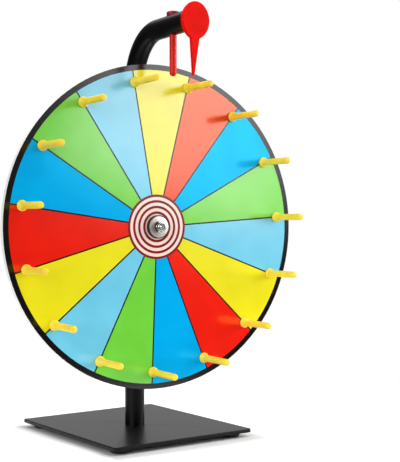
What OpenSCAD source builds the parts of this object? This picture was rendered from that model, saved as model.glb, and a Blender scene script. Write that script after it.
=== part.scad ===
// Tabletop prize wheel: a pegged wheel on a bent tube stand, with a fixed pointer and a flexing clicker.
// Millimetres. +Z is up, the wheel faces -Y, the floor is Z = 0 and the depth is centred on Y = 0.

/* [Wheel] */
// Diameter of the wheel
wheel_d = 304.8; // [280:0.2:340]
// Thickness of the wheel's board
board_t = 6; // [5:0.5:10]
// Thickness of the printed sheet on the board
print_t = 0.4; // [0.3:0.1:1]
// Width of the black border round the face
border_w = 5.2; // [3:0.2:9]
// Width of the black lines between the fields
line_w = 1.4; // [0.6:0.2:3]
// How often the five colours come round
color_rounds = 3; // [2:1:4]
// Angle of the first line to the left of the top
first_line = 10; // [5:0.5:13]
// Height of the rim above the floor
rim_height = 48.1; // [40:0.1:80]

/* [Pegs] */
// Diameter of a peg's shaft
peg_d = 6.2; // [5:0.2:8]
// Length of a peg in front of the face
peg_len = 43.5; // [34:0.5:60]
// Diameter of the round collar that seats on the face
peg_collar_d = 10; // [9:0.5:13]
// Thickness of the collar
peg_collar_t = 3; // [2:0.5:4]
// Length of the cone between collar and shaft
peg_neck = 2.5; // [1:0.5:5]
// Rounding of a peg's tip
peg_tip_r = 1.4; // [0.6:0.2:2]
// Distance from the rim to the pegs' circle
peg_inset = 16; // [12:0.5:22]
// Diameter of the spigot that sits in the board
peg_spigot_d = 5; // [4.6:0.2:6]
// Depth of the spigot in the board
peg_spigot_depth = 3; // [2:0.5:4]
// Shank diameter of a peg's screw
peg_screw_d = 2.9; // [2.4:0.1:3.2]
// Grip of a peg's screw beyond the board's front
peg_screw_grip = 9; // [6:0.5:14]

/* [Hub label] */
// Diameter of the label
label_d = 61; // [58:0.5:70]
// Width of a dark red ring
label_ring_w = 2.4; // [1.4:0.1:2.8]
// Step from one ring to the next, inwards from the label's edge
label_ring_step = 5.3; // [4.4:0.1:6]
// Number of rings
label_rings = 4; // [1:1:4]

/* [Hub and axle] */
// Diameter of the axle bolt, which is the bearings' bore
axle_d = 6; // [5:0.5:7]
// Outer diameter of a bearing
bearing_od = 19; // [19:0.5:24]
// Width of a bearing
bearing_w = 6; // [5.5:0.5:8]
// Distance between the two bearings
bearing_gap = 10; // [6:0.5:16]
// Wall of a bearing's inner ring
inner_ring_wall = 2; // [1.8:0.1:2.3]
// Wall of a bearing's outer ring
outer_ring_wall = 2; // [1.8:0.1:2.4]
// Diameter of a bearing ball
ball_d = 3.5; // [3:0.1:3.8]
// Balls in a bearing
ball_count = 7; // [5:1:7]
// Width of a ball cage
cage_w = 4.8; // [4.6:0.1:5.2]
// Radial thickness of a ball cage
cage_t = 1.4; // [1:0.1:1.6]
// Wall round the bearings in the hub
hub_wall = 4; // [3:0.5:6]
// Depth of the rib that parts the bearings
hub_rib = 1.5; // [1:0.25:2]
// Diameter of the hub's flange
flange_d = 60; // [54:0.5:70]
// Thickness of the hub's flange
flange_t = 2.5; // [2:0.25:4]
// Shank diameter of a hub screw
hub_screw_d = 3.5; // [3:0.1:4]
// Number of hub screws
hub_screws_n = 4; // [3:1:6]
// Depth of a hub screw in the board
hub_screw_grip = 4.5; // [3:0.25:4.75]
// Wall of the axle spacers
spacer_wall = 1.6; // [1.2:0.1:1.8]
// Space between the hub and the post
rear_gap = 7.1; // [5:0.1:15]
// Diameter of the front spacer's flange
spacer_flange_d = 22; // [16:0.2:24]
// Thickness of the front spacer's flange
spacer_flange_t = 3.2; // [1:0.1:4]
// Space between the label and that flange
spacer_lift = 0.5; // [0.4:0.1:2]
// Diameter of the front washer
washer_d = 20; // [16:0.5:24]
// Thickness of the front washer
washer_t = 1.2; // [1:0.1:2.5]
// Width across flats of the axle's nut and head
hex_flats = 10; // [9:0.5:12]
// Height of the lock nut's hexagon
nut_h = 4.6; // [4:0.2:6]
// Height of the lock nut's round collar
nut_collar_h = 1.6; // [1:0.2:3]
// Length of bolt that shows past the nut
axle_end = 1.8; // [0.6:0.2:5]
// Height of the axle bolt's head
axle_head_h = 4; // [3:0.2:6]
// Diameter of the saddle washer behind the post
saddle_d = 13; // [12:0.5:16]
// Thickness of the saddle washer at its middle
saddle_t = 2; // [1.5:0.25:4]

/* [Stand] */
// Outer diameter of the tube
tube_d = 19; // [17:0.5:22]
// Wall of the tube
tube_wall = 1.5; // [1:0.25:2]
// Radius of the bend along the tube's middle
bend_r = 47; // [34:0.5:60]
// Clear height between the rim and the arm
arm_clear = 22.9; // [18:0.1:40]
// Distance of the arm's end in front of the pegs
arm_past_pegs = 25.3; // [10:0.1:35]
// Width of the base plate
base_w = 153; // [120:1:220]
// Depth of the base plate
base_d = 175; // [140:1:240]
// Thickness of the base plate
base_t = 3.5; // [2:0.25:6]
// Corner radius of the base plate
base_r = 3; // [1:0.5:12]
// Turn of the base about the post
base_turn = 5; // [0:0.5:10]
// Diameter of a foot at the plate
foot_d = 20; // [14:0.5:24]
// Diameter of a foot at the floor
foot_tip_d = 17; // [12:0.5:22]
// Height of a foot
foot_h = 4.5; // [3.2:0.1:8]
// Distance from the plate's edges to a foot's middle
foot_inset = 15; // [12:0.5:24]
// Diameter of the bolt that holds the post
post_bolt_d = 8; // [6:0.5:10]
// Diameter of that bolt's low head
post_head_d = 15; // [13:0.5:18]
// Height of that bolt's low head
post_head_h = 2.4; // [2:0.1:3]
// Length of the threaded plug in the tube's foot
plug_len = 14; // [8:0.5:24]

/* [Pointer and clicker] */
// Width of the pointer's oval head
pointer_w = 28; // [25:0.5:30]
// Height of the pointer's oval head
pointer_h = 33.5; // [31:0.5:40]
// Radius of the oval head's two ends
pointer_end_r = 11.8; // [8:0.2:12]
// Thickness of the pointer
pointer_t = 4; // [2.5:0.25:6]
// Drop of the head's middle below the arm's middle
pointer_drop = 2; // [0:0.1:4]
// Turn of the pointer in the arm, its tip to the left
pointer_turn = 2.4; // [0:0.2:5]
// Width of the needle at the middle of the head
needle_w = 12.5; // [10:0.5:18]
// Width of the needle's tip
needle_tip_w = 1.6; // [1.2:0.2:4]
// How far the needle reaches past the pegs' circle
needle_past = 2.6; // [0:0.2:12]
// Length of the pointer's spigot in the arm
pointer_spigot = 14; // [8:0.5:18]
// Diameter of the clicker
clicker_d = 6.6; // [4:0.2:8]
// Distance from the pegs' tips back to the clicker
clicker_back = 12.6; // [8:0.1:20]
// How far the clicker dips into the pegs' path
clicker_dip = 1.7; // [0.5:0.1:3]
// Diameter of the clicker's cap
cap_d = 12; // [10:0.5:15]
// Height of the cap above the arm
cap_h = 3; // [2.5:0.25:7]
// Rounding of the cap's top edge
cap_r = 1.2; // [0.6:0.2:2]

/* [Fits] */
// Gap round pieces that are fixed together
fit_gap = 0.05; // [0.02:0.01:0.1]
// Gap round bearing balls
ball_gap = 0.06; // [0.04:0.01:0.1]
// Gap round bolts in clearance holes
hole_gap = 0.2; // [0.1:0.05:0.4]
// Gap round the axle spacers in the turning wheel
turn_gap = 1; // [0.5:0.1:1.5]
// Gap round the bending clicker
flex_gap = 0.5; // [0.4:0.05:0.6]

/* [Hidden] */
$fn = 96;
// Cuts run this far past the faces that they open
cut = 1;
colors = ["yellow", "red", "blue", "green", "sky"];
paints = ["gold", "red", "deepskyblue", "yellowgreen", "lightskyblue"];
field_count = len(colors) * color_rounds;
field_step = 360 / field_count;
wheel_r = wheel_d / 2;
peg_circle_r = wheel_r - peg_inset;
axle_z = wheel_r + rim_height;
base_top = foot_h + base_t;

// Distances behind the printed face
board_back = print_t + board_t;
flange_back = board_back + flange_t;
front_bearing = board_back;
rear_bearing = front_bearing + bearing_w + bearing_gap;
hub_back = rear_bearing + bearing_w;
post_behind = hub_back + rear_gap + tube_d / 2;
saddle_back = post_behind + tube_d / 2 + saddle_t;
washer_back = -spacer_lift - spacer_flange_t;
washer_front = washer_back - washer_t;
nut_front = washer_front - nut_h - nut_collar_h;

// The arm, the pointer and the clicker
tube_id = tube_d - 2 * tube_wall;
arm_front = peg_len + arm_past_pegs;
arm_rise = wheel_r + arm_clear + tube_d / 2;
arm_z = axle_z + arm_rise;
bend_z = arm_z - bend_r;
clicker_front = peg_len - clicker_back;
clicker_pivot_z = arm_z - tube_d / 2;
clicker_end_z = axle_z + peg_circle_r + peg_d / 2 - clicker_dip;

// Places in the part's own frame: the whole depth is centred
front_reach = arm_front + pointer_t + post_behind;
base_reach = (base_d / 2 - base_r) * cos(base_turn) + (base_w / 2 - base_r) * sin(base_turn) + base_r;
post_y = (front_reach - base_reach) / 2;
face_y = post_y - post_behind;
arm_end_y = face_y - arm_front;
clicker_y = face_y - clicker_front;

// The bearings, their spacers and the screws
pitch_r = (axle_d + bearing_od) / 4;
spacer_d = axle_d + 2 * fit_gap + 2 * spacer_wall;
wheel_hole_d = spacer_d + 2 * turn_gap;
hub_d = bearing_od + 2 * hub_wall;
hub_screw_circle_d = (flange_d + hub_d) / 2;
peg_hole_d = peg_spigot_d + 2 * fit_gap;

feet = ["front_left_foot", "front_right_foot", "rear_left_foot", "rear_right_foot"];
function fields_name(i) = str(colors[i], "_fields");
function peg_name(i) = str("peg_", i < 9 ? "0" : "", i + 1);
function line_angle(i) = 90 + first_line - i * field_step;

// A flat outline in the front view, given thickness between two distances behind the face
module layer(front, back) {
    translate([0, face_y + back, axle_z])
        rotate([90, 0, 0])
            linear_extrude(back - front)
                children();
}

// Shapes on the axle, with their own +Z towards the front, at a distance behind the face
module on_axle(behind) {
    translate([0, face_y + behind, axle_z])
        rotate([90, 0, 0])
            children();
}

// One child at each peg, in the front view
module at_pegs() {
    for (i = [0:field_count - 1])
        rotate(line_angle(i))
            translate([peg_circle_r, 0])
                children();
}

// One child at each hub screw, in the front view
module at_hub_screws() {
    step = 360 / hub_screws_n;
    for (i = [0:hub_screws_n - 1])
        rotate(step / 2 + i * step)
            translate([hub_screw_circle_d / 2, 0])
                children();
}

module on_base() {
    translate([0, post_y, 0])
        rotate(base_turn)
            children();
}

module ring(outer_d, inner_d) {
    difference() {
        circle(d = outer_d);
        circle(d = inner_d);
    }
}

module hexagon(flats) {
    circle(d = flats / cos(30), $fn = 6);
}

module rounded_plate(w, d, r) {
    square([w - 2 * r, d], center = true);
    square([w, d - 2 * r], center = true);
    for (x = [-1, 1], y = [-1, 1])
        translate([x * (w / 2 - r), y * (d / 2 - r)])
            circle(r = r);
}

// Pan head screw with a cross recess: the shank runs up from Z = 0 and the head lies below
module screw(d, grip) {
    head_d = 2 * d;
    head_h = 0.6 * d;
    top_d = 0.7 * head_d;
    recess_w = 0.3 * d;
    recess_len = 0.6 * head_d;
    cylinder(d = d, h = grip);
    difference() {
        translate([0, 0, -head_h])
            cylinder(d1 = top_d, d2 = head_d, h = head_h);
        for (turn = [0, 90])
            rotate(turn)
                translate([-recess_len / 2, -recess_w / 2, -head_h - cut])
                    cube([recess_len, recess_w, cut + head_h / 2]);
    }
}

// The tube's whole run at one diameter: post, bend and arm
module tube_run(d, extra) {
    translate([0, post_y, base_top - extra])
        cylinder(d = d, h = bend_z - base_top + extra);
    translate([0, post_y - bend_r, bend_z])
        rotate([90, 0, 90])
            rotate_extrude(angle = 90)
                translate([bend_r, 0])
                    circle(d = d);
    translate([0, arm_end_y - extra, arm_z])
        rotate([-90, 0, 0])
            cylinder(d = d, h = post_y - bend_r - arm_end_y + extra);
}

// Straight bars that cut the tube's round seat into pieces which sit on it
module post_seat() {
    translate([0, post_y, 0])
        cylinder(d = tube_d + 2 * fit_gap, h = arm_z);
}

module arm_seat() {
    translate([0, arm_end_y, arm_z])
        rotate([-90, 0, 0])
            cylinder(d = tube_d + 2 * fit_gap, h = arm_front);
}

module base_plate() {
    color("dimgray")
        on_base()
            translate([0, 0, foot_h])
                linear_extrude(base_t)
                    difference() {
                        rounded_plate(base_w, base_d, base_r);
                        circle(d = post_bolt_d + 2 * hole_gap);
                    }
}

module foot(i) {
    side = i % 2 * 2 - 1;
    end = floor(i / 2) * 2 - 1;
    color("black")
        on_base()
            translate([side * (base_w / 2 - foot_inset), end * (base_d / 2 - foot_inset), 0])
                cylinder(d1 = foot_tip_d, d2 = foot_d, h = foot_h);
}

module post_bolt() {
    key_d = 0.6 * post_bolt_d;
    key_depth = post_head_h / 2;
    color("dimgray")
        translate([0, post_y, foot_h - post_head_h])
            difference() {
                union() {
                    cylinder(d = post_head_d, h = post_head_h);
                    cylinder(d = post_bolt_d, h = post_head_h + base_t + plug_len);
                }
                translate([0, 0, -cut])
                    cylinder(d = key_d, h = cut + key_depth, $fn = 6);
            }
}

module post_plug() {
    color("gray")
        translate([0, post_y, base_top])
            linear_extrude(plug_len)
                ring(tube_id - 2 * fit_gap, post_bolt_d + 2 * fit_gap);
}

module stand_tube() {
    color("#1a1a1c")
        difference() {
            tube_run(tube_d, 0);
            tube_run(tube_id, cut);
            layer(post_behind - tube_d, post_behind + tube_d)
                circle(d = axle_d + 2 * hole_gap);
            translate([0, clicker_y, arm_z])
                cylinder(d = clicker_d + 2 * fit_gap, h = tube_d);
            translate([0, clicker_y, arm_z - tube_d])
                cylinder(d = clicker_d + 2 * flex_gap, h = tube_d);
        }
}

// The pointer's outline in the front view, from the arm's middle: an oval of four arcs and a needle
module pointer_outline() {
    end_y = pointer_h / 2 - pointer_end_r;
    across = (pow(pointer_w, 2) + pow(pointer_h, 2)) / 4;
    side_r = (across - pointer_end_r * pointer_h) / (pointer_w - 2 * pointer_end_r);
    side_x = side_r - pointer_w / 2;
    join_y = side_r * end_y / (side_r - pointer_end_r);
    tip_y = pointer_drop + peg_circle_r - needle_past + needle_tip_w / 2 - arm_rise;
    translate([0, -pointer_drop]) {
        intersection() {
            square([2 * pointer_w, 2 * join_y], center = true);
            translate([side_x, 0])
                circle(r = side_r);
            translate([-side_x, 0])
                circle(r = side_r);
        }
        for (side = [-1, 1])
            translate([0, side * end_y])
                circle(r = pointer_end_r);
        polygon([
            [-needle_w / 2, 0], [needle_w / 2, 0],
            [needle_tip_w / 2, tip_y], [-needle_tip_w / 2, tip_y]
        ]);
        translate([0, tip_y])
            circle(d = needle_tip_w);
    }
}

module pointer() {
    color("red") {
        layer(-arm_front - pointer_t, -arm_front)
            translate([0, arm_rise])
                rotate(-pointer_turn)
                    pointer_outline();
        layer(-arm_front, -arm_front + pointer_spigot)
            translate([0, arm_rise])
                circle(d = tube_id - 2 * fit_gap);
    }
}

module clicker_cap() {
    top = tube_d / 2 + cap_h;
    color("firebrick") {
        difference() {
            translate([0, clicker_y, arm_z])
                rotate_extrude() {
                    square([cap_d / 2, top - cap_r]);
                    square([cap_d / 2 - cap_r, top]);
                    translate([cap_d / 2 - cap_r, top - cap_r])
                        circle(r = cap_r);
                }
            arm_seat();
        }
        translate([0, clicker_y, clicker_pivot_z + clicker_d / 2 + flex_gap])
            cylinder(d = clicker_d, h = tube_d - clicker_d / 2 - flex_gap + fit_gap + cap_h / 2);
    }
}

// The end that bends, with a root in the arm's lower hole that is round about the bend's axis
module clicker_rod() {
    low_z = clicker_end_z + clicker_d / 2;
    color("red")
        translate([0, clicker_y, 0]) {
            intersection() {
                translate([0, 0, low_z])
                    cylinder(d = clicker_d, h = clicker_pivot_z - low_z + clicker_d);
                union() {
                    translate([0, 0, clicker_pivot_z])
                        intersection() {
                            rotate([90, 0, 0])
                                translate([0, 0, -clicker_d])
                                    cylinder(d = clicker_d, h = 2 * clicker_d);
                            sphere(d = clicker_d + flex_gap);
                        }
                    translate([-clicker_d, -clicker_d, low_z])
                        cube([2 * clicker_d, 2 * clicker_d, clicker_pivot_z - low_z]);
                }
            }
            translate([0, 0, low_z])
                sphere(d = clicker_d);
        }
}

module axle_bolt() {
    color("silver") {
        layer(nut_front - axle_end, saddle_back)
            circle(d = axle_d);
        layer(saddle_back, saddle_back + axle_head_h)
            hexagon(hex_flats);
    }
}

module saddle_washer() {
    color("dimgray")
        difference() {
            layer(post_behind, saddle_back)
                ring(saddle_d, axle_d + 2 * fit_gap);
            post_seat();
        }
}

module rear_spacer() {
    color("silver")
        difference() {
            layer(hub_back, post_behind)
                ring(spacer_d, axle_d + 2 * fit_gap);
            post_seat();
        }
}

module middle_spacer() {
    color("silver")
        layer(front_bearing + bearing_w, rear_bearing)
            ring(spacer_d, axle_d + 2 * fit_gap);
}

module front_spacer() {
    color("dimgray") {
        layer(washer_back, front_bearing)
            ring(spacer_d, axle_d + 2 * fit_gap);
        layer(washer_back, -spacer_lift)
            ring(spacer_flange_d, axle_d + 2 * fit_gap);
    }
}

module front_washer() {
    color("silver")
        layer(washer_front, washer_back)
            ring(washer_d, axle_d + 2 * fit_gap);
}

module lock_nut() {
    collar_d = 0.9 * hex_flats;
    color("silver") {
        layer(washer_front - nut_h, washer_front)
            difference() {
                hexagon(hex_flats);
                circle(d = axle_d + 2 * fit_gap);
            }
        layer(nut_front, washer_front - nut_h)
            ring(collar_d, axle_d + 2 * fit_gap);
    }
}

// Half section of a bearing ring, with the groove that the balls run in
module ring_section(inner_r, outer_r) {
    difference() {
        translate([inner_r, -bearing_w / 2])
            square([outer_r - inner_r, bearing_w]);
        translate([pitch_r, 0])
            circle(d = ball_d + 2 * ball_gap);
    }
}

module inner_ring(behind) {
    color("lightgray")
        on_axle(behind + bearing_w / 2)
            rotate_extrude()
                ring_section(axle_d / 2 + fit_gap, axle_d / 2 + inner_ring_wall);
}

module outer_ring(behind) {
    color("lightgray")
        on_axle(behind + bearing_w / 2)
            rotate_extrude()
                ring_section(bearing_od / 2 - outer_ring_wall, bearing_od / 2 - fit_gap);
}

// One child at each ball of a bearing, with the child's +X pointing away from the axle
module at_balls(behind) {
    on_axle(behind + bearing_w / 2)
        for (i = [0:ball_count - 1])
            rotate(i * 360 / ball_count)
                children();
}

module balls(behind) {
    color("white")
        at_balls(behind)
            translate([pitch_r, 0, 0])
                sphere(d = ball_d);
}

module cage(behind) {
    edge = (bearing_w - cage_w) / 2;
    color("peru")
        difference() {
            layer(behind + edge, behind + edge + cage_w)
                ring(2 * pitch_r + cage_t, 2 * pitch_r - cage_t);
            at_balls(behind)
                rotate([0, 90, 0])
                    cylinder(d = ball_d + 2 * ball_gap, h = bearing_od / 2);
        }
}

module hub_flange() {
    color("dimgray")
        difference() {
            union() {
                layer(board_back, flange_back)
                    difference() {
                        circle(d = flange_d);
                        at_hub_screws()
                            circle(d = hub_screw_d + 2 * hole_gap);
                    }
                layer(board_back, hub_back)
                    circle(d = hub_d);
            }
            layer(board_back - cut, front_bearing + bearing_w)
                circle(d = bearing_od);
            layer(rear_bearing, hub_back + cut)
                circle(d = bearing_od);
            layer(board_back, hub_back)
                circle(d = bearing_od - 2 * hub_rib);
        }
}

module hub_screws() {
    color("silver")
        on_axle(flange_back)
            at_hub_screws()
                screw(hub_screw_d, flange_t + hub_screw_grip);
}

module wheel_board() {
    color("white")
        difference() {
            layer(print_t, board_back)
                difference() {
                    circle(d = wheel_d);
                    circle(d = wheel_hole_d);
                    at_pegs()
                        circle(d = peg_screw_d + 2 * hole_gap);
                }
            layer(print_t - cut, print_t + peg_spigot_depth)
                at_pegs()
                    circle(d = peg_hole_d);
            layer(board_back - hub_screw_grip - fit_gap, board_back + cut)
                at_hub_screws()
                    circle(d = hub_screw_d + 2 * fit_gap);
        }
}

// The outline of one field: a wedge between two lines, from the label to the border
module field_outline(i) {
    reach = wheel_d;
    intersection() {
        ring(wheel_d - 2 * border_w, label_d);
        polygon([
            [0, 0],
            reach * [cos(line_angle(i)), sin(line_angle(i))],
            reach * [cos(line_angle(i + 1)), sin(line_angle(i + 1))]
        ]);
    }
}

module dividers() {
    for (i = [0:field_count - 1])
        rotate(line_angle(i))
            translate([0, -line_w / 2])
                square([wheel_r - border_w / 2, line_w]);
}

// All the fields of one colour
module fields(c) {
    color(paints[c])
        layer(0, print_t)
            difference() {
                for (turn = [0:color_rounds - 1])
                    field_outline(c + turn * len(colors));
                dividers();
                at_pegs()
                    circle(d = peg_hole_d);
            }
}

module face_border() {
    color("black")
        layer(0, print_t)
            difference() {
                union() {
                    ring(wheel_d, wheel_d - 2 * border_w);
                    dividers();
                }
                circle(d = label_d);
                at_pegs()
                    circle(d = peg_hole_d);
            }
}

module label_ring_outlines() {
    for (i = [0:label_rings - 1]) {
        outer_d = label_d - 2 * i * label_ring_step;
        ring(outer_d, outer_d - 2 * label_ring_w);
    }
}

module hub_label() {
    color("white")
        layer(0, print_t)
            difference() {
                ring(label_d, wheel_hole_d);
                label_ring_outlines();
            }
}

module hub_rings() {
    color("brown")
        layer(0, print_t)
            label_ring_outlines();
}

module peg(i) {
    collar_r = peg_collar_d / 2;
    shaft_r = peg_d / 2;
    neck_top = peg_collar_t + peg_neck;
    spigot = print_t + peg_spigot_depth;
    color("gold")
        on_axle(0)
            rotate(line_angle(i))
                translate([peg_circle_r, 0, 0])
                    difference() {
                        rotate_extrude() {
                            translate([0, -spigot])
                                square([peg_spigot_d / 2, spigot + peg_collar_t]);
                            square([collar_r - peg_collar_t / 2, peg_collar_t]);
                            translate([collar_r - peg_collar_t / 2, peg_collar_t / 2])
                                circle(d = peg_collar_t);
                            polygon([
                                [0, 0], [collar_r - peg_collar_t / 2, peg_collar_t],
                                [shaft_r, neck_top], [0, neck_top]
                            ]);
                            square([shaft_r, peg_len - peg_tip_r]);
                            square([shaft_r - peg_tip_r, peg_len]);
                            translate([shaft_r - peg_tip_r, peg_len - peg_tip_r])
                                circle(r = peg_tip_r);
                        }
                        translate([0, 0, -spigot - cut])
                            cylinder(d = peg_screw_d + 2 * fit_gap, h = cut + spigot + peg_screw_grip + fit_gap);
                    }
}

module peg_screws() {
    color("silver")
        on_axle(board_back)
            at_pegs()
                screw(peg_screw_d, board_back + peg_screw_grip);
}

base_plate();
for (i = [0:len(feet) - 1])
    foot(i);
post_bolt();
post_plug();
stand_tube();
pointer();
clicker_cap();
clicker_rod();
axle_bolt();
saddle_washer();
rear_spacer();
middle_spacer();
front_spacer();
front_washer();
lock_nut();
inner_ring(front_bearing);  // front_inner_ring
inner_ring(rear_bearing);  // rear_inner_ring
outer_ring(front_bearing);  // front_outer_ring
outer_ring(rear_bearing);  // rear_outer_ring
balls(front_bearing);  // front_balls
balls(rear_bearing);  // rear_balls
cage(front_bearing);  // front_cage
cage(rear_bearing);  // rear_cage
hub_flange();
hub_screws();
wheel_board();
for (i = [0:len(colors) - 1])
    fields(i);
face_border();
hub_label();
hub_rings();
for (i = [0:field_count - 1])
    peg(i);
peg_screws();
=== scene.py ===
import math

import bmesh
import bpy
from mathutils import Matrix, Quaternion, Vector


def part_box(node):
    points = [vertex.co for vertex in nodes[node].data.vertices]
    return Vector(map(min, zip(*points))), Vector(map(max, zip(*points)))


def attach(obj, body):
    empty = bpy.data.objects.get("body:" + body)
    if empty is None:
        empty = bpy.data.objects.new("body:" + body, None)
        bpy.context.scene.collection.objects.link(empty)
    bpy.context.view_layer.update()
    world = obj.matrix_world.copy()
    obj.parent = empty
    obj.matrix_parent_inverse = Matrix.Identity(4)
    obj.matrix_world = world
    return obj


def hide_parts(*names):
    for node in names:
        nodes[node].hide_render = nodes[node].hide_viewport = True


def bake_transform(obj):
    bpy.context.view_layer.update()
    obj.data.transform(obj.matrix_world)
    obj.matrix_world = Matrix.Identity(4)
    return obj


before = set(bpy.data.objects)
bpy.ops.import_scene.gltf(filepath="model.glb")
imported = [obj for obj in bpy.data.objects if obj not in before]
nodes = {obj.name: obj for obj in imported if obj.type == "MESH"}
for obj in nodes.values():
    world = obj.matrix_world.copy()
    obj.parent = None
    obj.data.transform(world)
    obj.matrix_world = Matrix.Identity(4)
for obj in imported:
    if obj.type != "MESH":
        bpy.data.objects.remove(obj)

# Tabletop prize wheel on a bent tube stand. Piece sizes are in millimetres, Blender's own in metres.
mm = 0.001
sharpAngle = 32  # degrees; edges that turn further than this stay sharp in shading
scene = bpy.context.scene
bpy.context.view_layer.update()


def boxMm(node):
    low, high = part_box(node)
    return low / mm, high / mm


def middleMm(node):
    return [(low + high) / 2 for low, high in zip(*boxMm(node))]


def linear(hexColour):
    # sRGB hex to the linear values that the shaders take
    shares = [int(hexColour[i:i + 2], 16) / 255 for i in (1, 3, 5)]
    return [s / 12.92 if s <= 0.04045 else ((s + 0.055) / 1.055) ** 2.4 for s in shares] + [1]


def addNode(tree, kind, feeds=None, **settings):
    # One node with its settings; a feed is a value or the output that is linked to it
    node = tree.nodes.new(kind)
    for name, value in settings.items():
        setattr(node, name, value)
    for name, value in (feeds or {}).items():
        if isinstance(value, bpy.types.NodeSocket):
            tree.links.new(value, node.inputs[name])
        else:
            node.inputs[name].default_value = value
    return node


def perMm(size):
    # Texture scale for a pattern whose features are this many millimetres wide
    return 1 / (size * mm)


# Places that several pieces share
faceLow, faceHigh = boxMm("face_border")
wheelCentre = Vector(((faceLow.x + faceHigh.x) / 2, faceLow.y, (faceLow.z + faceHigh.z) / 2))
wheelRadius = (faceHigh.x - faceLow.x) / 2
toFront = Matrix.Rotation(math.radians(90), 4, "X")  # a piece's own +Z turns to the wheel's front
onAxle = Matrix.Translation(wheelCentre) @ toFront  # where the axle meets the printed face


def behindFace(node):
    # How far behind the printed face a node starts and ends
    low, high = boxMm(node)
    return low.y - wheelCentre.y, high.y - wheelCentre.y


# Materials: pattern widths and depths are in millimetres
def startMaterial(name, colour, roughness, metallic=0.0, **constants):
    material = bpy.data.materials.new(name)
    material.use_nodes = True
    shader = material.node_tree.nodes["Principled BSDF"]
    shader.inputs["Base Color"].default_value = linear(colour)
    shader.inputs["Roughness"].default_value = roughness
    shader.inputs["Metallic"].default_value = metallic
    for socket, value in constants.items():
        shader.inputs[socket.replace("_", " ")].default_value = value
    return material, material.node_tree, shader


def addGrain(tree, shader, size, depth, roughness, detail=3.0):
    # A fine relief of this width and depth, with the roughness going up and down with it
    coords = addNode(tree, "ShaderNodeTexCoord")
    grain = addNode(tree, "ShaderNodeTexNoise",
                    {"Vector": coords.outputs["Object"], "Scale": perMm(size), "Detail": detail})
    spread = addNode(tree, "ShaderNodeMapRange",
                     {"Value": grain.outputs["Fac"], "To Min": roughness[0], "To Max": roughness[1]})
    bump = addNode(tree, "ShaderNodeBump",
                   {"Height": grain.outputs["Fac"], "Strength": 1.0, "Distance": depth * mm})
    tree.links.new(spread.outputs["Result"], shader.inputs["Roughness"])
    tree.links.new(bump.outputs["Normal"], shader.inputs["Normal"])
    return coords.outputs["Object"]


def addShades(tree, shader, share, light, dark, stops=(0.35, 0.65)):
    # Colour that goes from the dark shade to the light one between two stops of the share
    shades = addNode(tree, "ShaderNodeValToRGB", {"Fac": share})
    for element, stop, colour in zip(shades.color_ramp.elements, stops, (dark, light)):
        element.position = stop
        element.color = linear(colour)
    tree.links.new(shades.outputs["Color"], shader.inputs["Base Color"])


def addTint(tree, shader, where, size, light, dark):
    # Slow change of colour between two close shades, as pigment and handling leave it
    cloud = addNode(tree, "ShaderNodeTexNoise", {"Vector": where, "Scale": perMm(size), "Detail": 2.0})
    addShades(tree, shader, cloud.outputs["Fac"], light, dark)


def powderCoat(name, light, dark, roughness, gloss):
    # Polyester powder baked on steel: satin black with a fine orange peel, drawn at 1.1 mm to show
    material, tree, shader = startMaterial(name, light, roughness, Specular_IOR_Level=gloss)
    where = addGrain(tree, shader, size=1.1, depth=0.012, roughness=(roughness - 0.07, roughness + 0.07))
    addTint(tree, shader, where, 35, light, dark)
    return material


film = {"roughness": 0.16, "ior": 1.9, "haze": 0.012, "marks": 26, "waves": 0.012, "detail": 1.0,
        "mottle": 30}


def dryWipeFilm(name, light, dark, gleam="#FFFFFF"):
    # Ink under a clear dry-wipe film: strong colour with a hazy gloss, and faint wipe marks in it
    material, tree, shader = startMaterial(name, light, film["roughness"], IOR=film["ior"],
                                           Specular_Tint=linear(gleam))
    hazy = (film["roughness"] - film["haze"], film["roughness"] + film["haze"])
    where = addGrain(tree, shader, film["marks"], film["waves"], hazy, film["detail"])
    addTint(tree, shader, where, film["mottle"], light, dark)
    return material


def mouldedAbs(name, light, dark, roughness, gloss):
    # Injection-moulded ABS: light goes a little way in, and the skin has a fine spark-eroded texture
    material, tree, shader = startMaterial(
        name, light, roughness, Specular_IOR_Level=gloss,
        Subsurface_Weight=0.12, Subsurface_Scale=1.2 * mm, Subsurface_Radius=(1.0, 0.5, 0.2))
    where = addGrain(tree, shader, size=0.9, depth=0.008, roughness=(roughness - 0.05, roughness + 0.08))
    addTint(tree, shader, where, 14, light, dark)
    return material


def softVinyl(name, light, dark):
    # Extruded soft PVC: deep colour, a waxy gloss and faint lines along the pull, drawn at 1.5 mm
    material, tree, shader = startMaterial(
        name, light, roughness=0.38, Specular_IOR_Level=0.18,
        Subsurface_Weight=0.18, Subsurface_Scale=1.5 * mm, Subsurface_Radius=(1.0, 0.25, 0.15))
    coords = addNode(tree, "ShaderNodeTexCoord")
    along = addNode(tree, "ShaderNodeMapping", {"Vector": coords.outputs["Object"], "Scale": (1, 1, 0.06)})
    lines = addNode(tree, "ShaderNodeTexNoise", {"Vector": along.outputs["Vector"], "Scale": perMm(1.5)})
    bump = addNode(tree, "ShaderNodeBump",
                   {"Height": lines.outputs["Fac"], "Strength": 1.0, "Distance": 0.02 * mm})
    tree.links.new(bump.outputs["Normal"], shader.inputs["Normal"])
    addTint(tree, shader, coords.outputs["Object"], 12, light, dark)
    return material


def startTumbled(name, colour, roughness):
    # A metal mirror dulled by tumbling, with small dents
    material, tree, shader = startMaterial(name, colour, roughness, metallic=1.0)
    where = addGrain(tree, shader, size=1.3, depth=0.0012, roughness=(roughness - 0.06, roughness + 0.08))
    return material, tree, shader, where


def tumbledMetal(name, light, dark, roughness):
    # Small plated or pressed metal parts: dull bright metal with cloudy spots
    material, tree, shader, where = startTumbled(name, light, roughness)
    addTint(tree, shader, where, 4, light, dark)
    return material


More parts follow.
